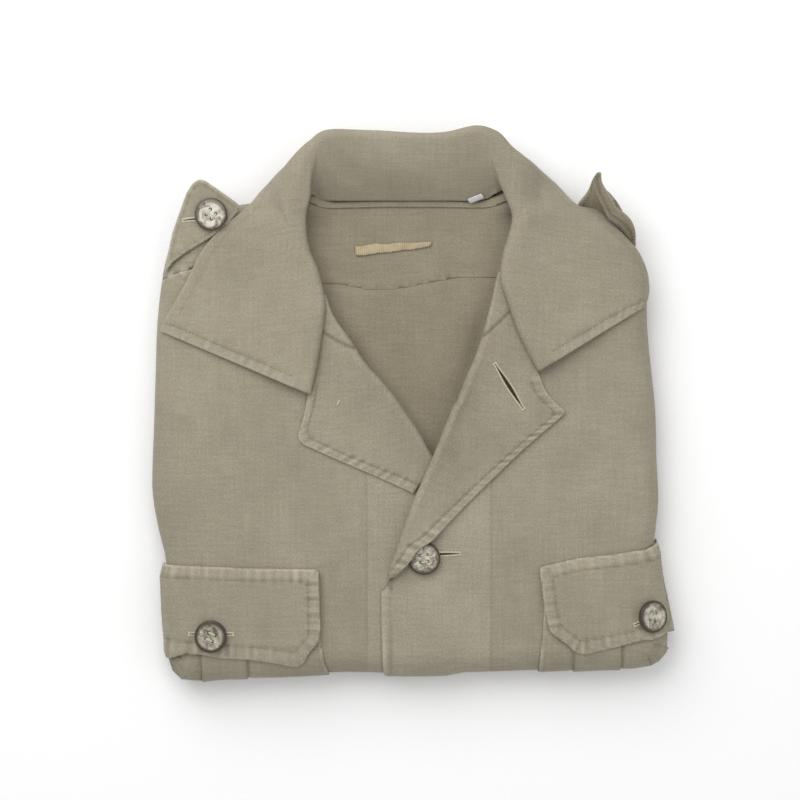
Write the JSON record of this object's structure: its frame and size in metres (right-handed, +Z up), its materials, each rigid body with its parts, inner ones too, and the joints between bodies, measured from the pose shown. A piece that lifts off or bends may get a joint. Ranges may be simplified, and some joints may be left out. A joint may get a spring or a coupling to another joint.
{
  "type": "safari jacket, folded flat",
  "caption": "Cotton safari jacket folded flat, with wide collar, lapels, flap pockets, epaulettes and horn buttons, lying on a surface.",
  "frame": {"origin": "on the surface, under the middle of the folded jacket", "axes": "+X to the wearer's left, +Y up to the collar, +Z up from the surface"},
  "size_m": [0.3287, 0.3478, 0.0437],
  "materials": {
    "khaki_twill": "washed matt cotton twill",
    "inside_twill": "matt cotton twill, inner side",
    "label_tape": "woven cotton tape",
    "white_tape": "woven satin tape",
    "horn": "polished mottled horn"
  },
  "bodies": {
    "root": {"hidden_layers": "khaki_twill", "front_right": "khaki_twill", "front_left": "khaki_twill", "back_yoke": "khaki_twill", "pocket_right": "khaki_twill", "pocket_left": "khaki_twill", "flap_right": "khaki_twill", "flap_left": "khaki_twill", "lapel_right": "khaki_twill", "lapel_left": "khaki_twill", "collar": "khaki_twill", "epaulette_right": "khaki_twill", "epaulette_left": "khaki_twill", "inner_yoke": "inside_twill", "inner_back": "inside_twill", "neck_binding": "inside_twill", "neck_label": "label_tape", "size_tab": "white_tape", "button_front": "horn", "button_pocket_right": "horn", "button_pocket_left": "horn", "button_epaulette_right": "horn", "button_epaulette_left": "horn"}
  },
  "joints": []
}
